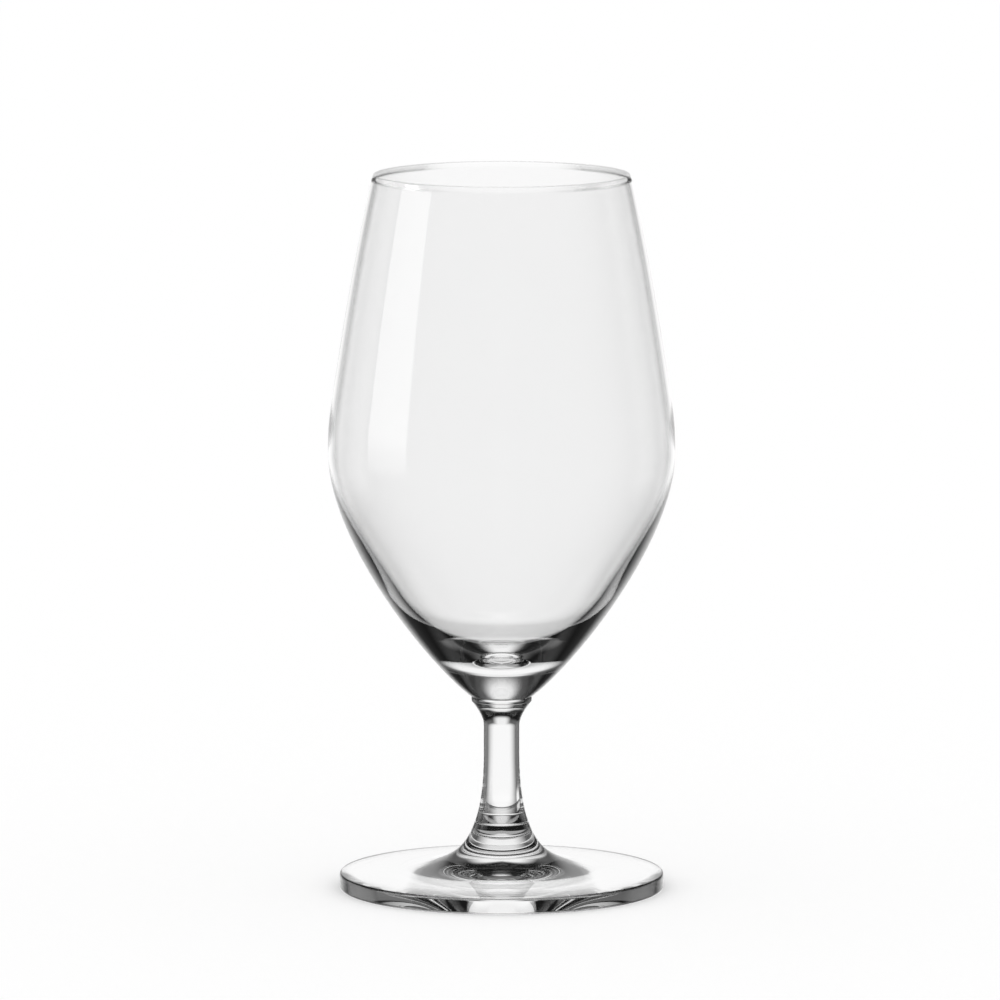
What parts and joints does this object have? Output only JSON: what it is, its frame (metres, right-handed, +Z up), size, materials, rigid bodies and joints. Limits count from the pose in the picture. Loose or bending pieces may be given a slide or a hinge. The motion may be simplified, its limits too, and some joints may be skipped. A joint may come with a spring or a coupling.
{
  "type": "goblet",
  "caption": "Clear glass stemmed goblet: a tulip bowl on a short flared stem and a broad round foot, for water or beer.",
  "frame": {"origin": "on the table, under the middle of the foot", "axes": "+Z up along the goblet's axis, from the foot to the rim; the goblet is round, so +X and +Y are free"},
  "size_m": [0.0796, 0.0796, 0.165],
  "materials": {
    "bowl_glass": "blown and fire-polished clear glass",
    "stem_glass": "drawn and fire-polished clear glass",
    "foot_glass": "pressed and fire-polished clear glass"
  },
  "bodies": {
    "root": {"bowl": "bowl_glass", "stem": "stem_glass", "foot": "foot_glass"}
  },
  "joints": []
}
